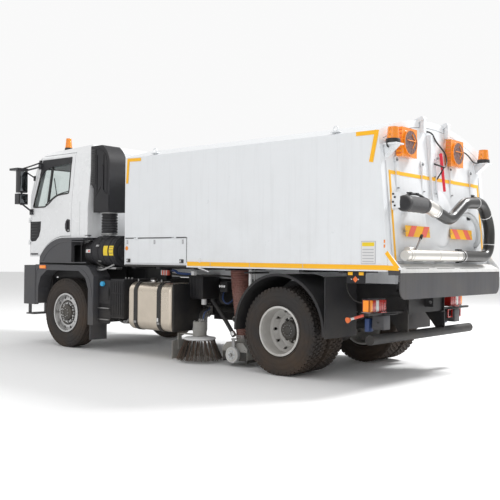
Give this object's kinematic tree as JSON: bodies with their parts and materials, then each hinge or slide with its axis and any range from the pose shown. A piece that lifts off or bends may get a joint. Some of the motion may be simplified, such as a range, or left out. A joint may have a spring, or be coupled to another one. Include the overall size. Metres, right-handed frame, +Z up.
{
  "type": "street sweeper truck",
  "caption": "Two-axle cab-over street sweeper truck with a tipping white hopper, rear wander hose, side brooms and suction nozzles.",
  "frame": {"origin": "on the ground under the middle of the vehicle's length and width", "axes": "+X forward along the truck, +Y to its left, +Z up"},
  "size_m": [6.992, 3.12, 3.2192],
  "materials": {
    "white_paint": "gloss white",
    "black_frame": "satin black chassis paint",
    "cast_iron": "black painted casting",
    "dark_plastic": "moulded charcoal plastic",
    "grey_trim": "grained grey plastic",
    "tyre": "worn road tyre",
    "rim_silver": "silver wheel paint",
    "rim_white": "pale grey wheel paint",
    "tank_aluminium": "brushed aluminium",
    "glass": "tinted glass",
    "lamp_glass": "clear lamp lens",
    "red_lens": "red lamp lens",
    "amber_lens": "amber lamp lens",
    "fabric_grey": "woven seat cloth and dark dashboard",
    "apron_steel": "dull rolled steel",
    "hose_rubber": "black hose rubber",
    "suction_rubber": "red-brown ribbed rubber",
    "bright_aluminium": "dull aluminium",
    "bristle": "worn steel and plastic bristles",
    "grey_steel": "grey painted steel",
    "mirror_black": "black mirror housings"
  },
  "bodies": {
    "chassis": {"chassis_frame": "black_frame", "engine_block": "cast_iron", "front_axle": "cast_iron", "rear_axle": "cast_iron", "leaf_springs": "cast_iron", "front_mudguards": "grey_trim", "bumper": "grey_trim", "headlamps": "lamp_glass", "air_cleaner": "dark_plastic", "side_boxes": "dark_plastic", "fuel_tank": "tank_aluminium", "tank_straps": "black_frame", "rear_fenders": "dark_plastic", "underrun_bar": "black_frame", "tail_lamps": "red_lens", "suction_hose_left": "suction_rubber", "suction_hose_right": "suction_rubber"},
    "cab": {"cab_shell": "white_paint", "windscreen": "glass", "cab_interior": "fabric_grey", "cab_trim": "grey_trim", "cab_beacon": "amber_lens", "snorkel": "dark_plastic"},
    "hopper": {"hopper_body": "white_paint", "rear_apron": "apron_steel"},
    "tailgate": {"tailgate": "white_paint", "warning_lamps": "amber_lens", "wander_hose": "hose_rubber", "hose_pipes": "bright_aluminium"},
    "cylinder_barrel": {"cylinder_barrel": "black_frame"},
    "cylinder_rod": {"cylinder_rod": "bright_aluminium"},
    "door_left": {"door_left": "white_paint", "door_glass_left": "glass", "mirrors_left": "mirror_black"},
    "knuckle_left": {"knuckle_left": "cast_iron"},
    "wheel_front_left": {"tyre_front_left": "tyre", "rim_front_left": "rim_silver"},
    "wheels_rear_left": {"tyres_rear_left": "tyre", "rims_rear_left": "rim_white"},
    "locker_door_left": {"locker_door_left": "white_paint"},
    "broom_arm_left": {"broom_arm_left": "grey_steel"},
    "brush_left": {"brush_left": "bristle"},
    "nozzle_left": {"nozzle_left": "grey_steel"},
    "nozzle_wheel_left": {"nozzle_wheel_left": "rim_white"},
    "door_right": {"door_right": "white_paint", "door_glass_right": "glass", "mirrors_right": "mirror_black"},
    "knuckle_right": {"knuckle_right": "cast_iron"},
    "wheel_front_right": {"tyre_front_right": "tyre", "rim_front_right": "rim_silver"},
    "wheels_rear_right": {"tyres_rear_right": "tyre", "rims_rear_right": "rim_white"},
    "locker_door_right": {"locker_door_right": "white_paint"},
    "broom_arm_right": {"broom_arm_right": "grey_steel"},
    "brush_right": {"brush_right": "bristle"},
    "nozzle_right": {"nozzle_right": "grey_steel"},
    "nozzle_wheel_right": {"nozzle_wheel_right": "rim_white"}
  },
  "joints": [
    {"name": "cab_tilt", "type": "hinge", "parent": "chassis", "child": "cab", "pos_m": [3.306, 0, 1.285], "axis": [0, 1, 0], "range_deg": [0, 50]},
    {"name": "hopper_tip", "type": "hinge", "parent": "chassis", "child": "hopper", "pos_m": [-3.064, 0, 1.15], "axis": [0, -1, 0], "range_deg": [0, 45]},
    {"name": "tailgate_lift", "type": "hinge", "parent": "hopper", "child": "tailgate", "pos_m": [-3.194, 0, 3.005], "axis": [0, 1, 0], "range_deg": [0, 90]},
    {"name": "cylinder_swing", "type": "hinge", "parent": "chassis", "child": "cylinder_barrel", "pos_m": [-1.364, 0, 0.8], "axis": [0, 1, 0], "range_deg": [0, 18.57]},
    {"name": "cylinder_stroke", "type": "slide", "parent": "cylinder_barrel", "child": "cylinder_rod", "axis": [-0.8968, 0, 0.4424], "range_m": [0, 0.6338]},
    {"name": "door_left_swing", "type": "hinge", "parent": "cab", "child": "door_left", "pos_m": [3.251, 1.222, 2], "axis": [0, 0, -1], "range_deg": [0, 70]},
    {"name": "steer_left", "type": "hinge", "parent": "chassis", "child": "knuckle_left", "pos_m": [2.346, 0.88, 0.522], "axis": [0, 0, 1], "range_deg": [-32, 32]},
    {"name": "wheel_front_left_spin", "type": "hinge", "parent": "knuckle_left", "child": "wheel_front_left", "pos_m": [2.346, 1.044, 0.522], "axis": [0, 1, 0], "continuous": true},
    {"name": "wheels_rear_left_spin", "type": "hinge", "parent": "chassis", "child": "wheels_rear_left", "pos_m": [-1.814, 0.904, 0.522], "axis": [0, 1, 0], "continuous": true},
    {"name": "locker_left_lift", "type": "hinge", "parent": "hopper", "child": "locker_door_left", "pos_m": [0.286, 1.258, 1.633], "axis": [1, 0, 0], "range_deg": [0, 85]},
    {"name": "broom_left_swing", "type": "hinge", "parent": "chassis", "child": "broom_arm_left", "pos_m": [-0.054, 0.52, 0.66], "axis": [0, 0, -1], "range_deg": [0, 20]},
    {"name": "brush_left_spin", "type": "hinge", "parent": "broom_arm_left", "child": "brush_left", "pos_m": [-0.284, 0.95, 0.2], "axis": [0, 0, 1], "continuous": true},
    {"name": "nozzle_left_lift", "type": "hinge", "parent": "chassis", "child": "nozzle_left", "pos_m": [-0.564, 0.545, 0.56], "axis": [0, 1, 0], "range_deg": [-7, 8], "deforming": ["suction_hose_left"]},
    {"name": "nozzle_wheel_left_spin", "type": "hinge", "parent": "nozzle_left", "child": "nozzle_wheel_left", "pos_m": [-0.914, 0.99, 0.15], "axis": [0, 1, 0], "continuous": true},
    {"name": "door_right_swing", "type": "hinge", "parent": "cab", "child": "door_right", "pos_m": [3.251, -1.222, 2], "axis": [0, 0, 1], "range_deg": [0, 70]},
    {"name": "steer_right", "type": "hinge", "parent": "chassis", "child": "knuckle_right", "pos_m": [2.346, -0.88, 0.522], "axis": [0, 0, 1], "range_deg": [-32, 32]},
    {"name": "wheel_front_right_spin", "type": "hinge", "parent": "knuckle_right", "child": "wheel_front_right", "pos_m": [2.346, -1.044, 0.522], "axis": [0, 1, 0], "continuous": true},
    {"name": "wheels_rear_right_spin", "type": "hinge", "parent": "chassis", "child": "wheels_rear_right", "pos_m": [-1.814, -0.904, 0.522], "axis": [0, 1, 0], "continuous": true},
    {"name": "locker_right_lift", "type": "hinge", "parent": "hopper", "child": "locker_door_right", "pos_m": [0.286, -1.258, 1.633], "axis": [-1, 0, 0], "range_deg": [0, 85]},
    {"name": "broom_right_swing", "type": "hinge", "parent": "chassis", "child": "broom_arm_right", "pos_m": [-0.054, -0.52, 0.66], "axis": [0, 0, 1], "range_deg": [0, 20]},
    {"name": "brush_right_spin", "type": "hinge", "parent": "broom_arm_right", "child": "brush_right", "pos_m": [-0.284, -0.95, 0.2], "axis": [0, 0, 1], "continuous": true},
    {"name": "nozzle_right_lift", "type": "hinge", "parent": "chassis", "child": "nozzle_right", "pos_m": [-0.564, -0.545, 0.56], "axis": [0, 1, 0], "range_deg": [-7, 8], "deforming": ["suction_hose_right"]},
    {"name": "nozzle_wheel_right_spin", "type": "hinge", "parent": "nozzle_right", "child": "nozzle_wheel_right", "pos_m": [-0.914, -0.99, 0.15], "axis": [0, 1, 0], "continuous": true}
  ],
  "couplings": [
    {"joint": "cylinder_swing", "follows": "hopper_tip", "ratio": 0.41249},
    {"joint": "cylinder_stroke", "follows": "hopper_tip", "m_per_rad": 0.80631},
    {"joint": "steer_right", "follows": "steer_left", "ratio": 1}
  ]
}
